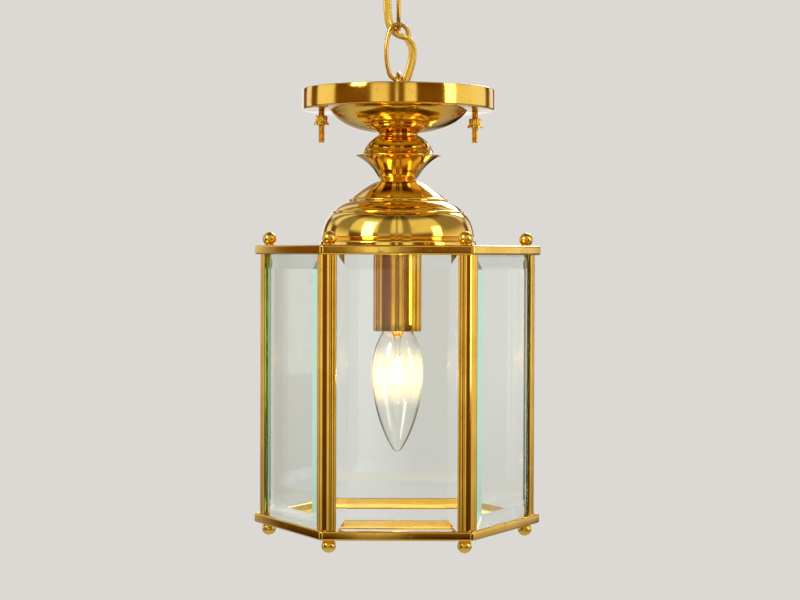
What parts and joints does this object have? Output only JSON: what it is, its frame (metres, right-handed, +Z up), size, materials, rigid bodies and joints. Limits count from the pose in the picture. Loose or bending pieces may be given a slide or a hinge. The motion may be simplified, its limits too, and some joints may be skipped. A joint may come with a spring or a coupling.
{
  "type": "ceiling lantern",
  "caption": "Six-sided brass hanging lantern with bevelled glass panes, open at the bottom round a candle lamp, under a spun dome, turned collar and round canopy on a short chain.",
  "frame": {"origin": "centre of the ceiling plate's upper face, on the ceiling and on the chain's axis", "axes": "+Z up to the ceiling, +X to the right as the picture shows it, +Y away from the camera; a flat pane faces -Y"},
  "size_m": [0.179, 0.1558, 0.3751],
  "materials": {
    "brass": "polished and lacquered sheet brass",
    "turned_brass": "turned or pressed brass, bright",
    "zinc_steel": "zinc-plated steel",
    "bevelled_glass": "clear plate glass with polished bevels",
    "lamp_glass": "clear blown glass",
    "gold_flex": "gold translucent two-core flex",
    "porcelain": "glazed white ceramic",
    "black_insulation": "black moulded insulation",
    "solder": "tinned metal",
    "filament": "coiled tungsten wire"
  },
  "bodies": {
    "ceiling": {"ceiling_plate": "brass", "ceiling_hook": "brass", "cable_bush": "black_insulation", "flex_top": "gold_flex"},
    "upper_chain_link": {"upper_link": "brass", "flex_middle": "gold_flex"},
    "lower_chain_link": {"lower_link": "brass", "flex_bottom": "gold_flex"},
    "lantern": {"chain_loop": "brass", "lock_nut": "zinc_steel", "canopy": "brass", "mounting_bar": "zinc_steel", "stud_screws": "turned_brass", "left_stud_nut": "turned_brass", "right_stud_nut": "turned_brass", "stem_pipe": "turned_brass", "collar_cap": "brass", "collar_cone": "brass", "dome_cap": "brass", "top_tray": "brass", "bottom_ring": "brass", "corner_post_1": "brass", "corner_post_2": "brass", "corner_post_3": "brass", "corner_post_4": "brass", "corner_post_5": "brass", "corner_post_6": "brass", "glass_pane_1": "bevelled_glass", "glass_pane_2": "bevelled_glass", "glass_pane_3": "bevelled_glass", "glass_pane_4": "bevelled_glass", "glass_pane_5": "bevelled_glass", "glass_pane_6": "bevelled_glass", "tie_rods": "turned_brass", "top_ball_nuts": "turned_brass", "bottom_ball_nuts": "turned_brass", "socket_sleeve": "brass", "sleeve_nut": "zinc_steel", "lampholder_body": "porcelain", "lampholder_shell": "turned_brass", "centre_contact": "turned_brass", "terminal_screws": "zinc_steel", "inner_flex": "gold_flex", "core_wires": "black_insulation"},
    "lamp": {"lamp_cap": "turned_brass", "lamp_insulator": "black_insulation", "lamp_tip": "solder", "lamp_glass": "lamp_glass", "lamp_stem": "lamp_glass", "lamp_wires": "solder", "lamp_filament": "filament"}
  },
  "joints": [
    {"name": "upper_link_swing", "type": "hinge", "parent": "ceiling", "child": "upper_chain_link", "pos_m": [0, 0, -0.027], "axis": [1, 0, 0], "range_deg": [-25, 25], "deforming": ["flex_top"]},
    {"name": "lower_link_swing", "type": "hinge", "parent": "upper_chain_link", "child": "lower_chain_link", "pos_m": [0, 0, -0.05803], "axis": [0, 1, 0], "range_deg": [-25, 25], "deforming": ["flex_middle"]},
    {"name": "lantern_swing", "type": "hinge", "parent": "lower_chain_link", "child": "lantern", "pos_m": [0, 0, -0.08943], "axis": [1, 0, 0], "range_deg": [-25, 25], "deforming": ["flex_bottom"]},
    {"name": "lamp_unscrew", "type": "hinge", "parent": "lantern", "child": "lamp", "pos_m": [0, 0, -0.22875], "axis": [0, 0, -1], "range_deg": [0, 1800]}
  ]
}
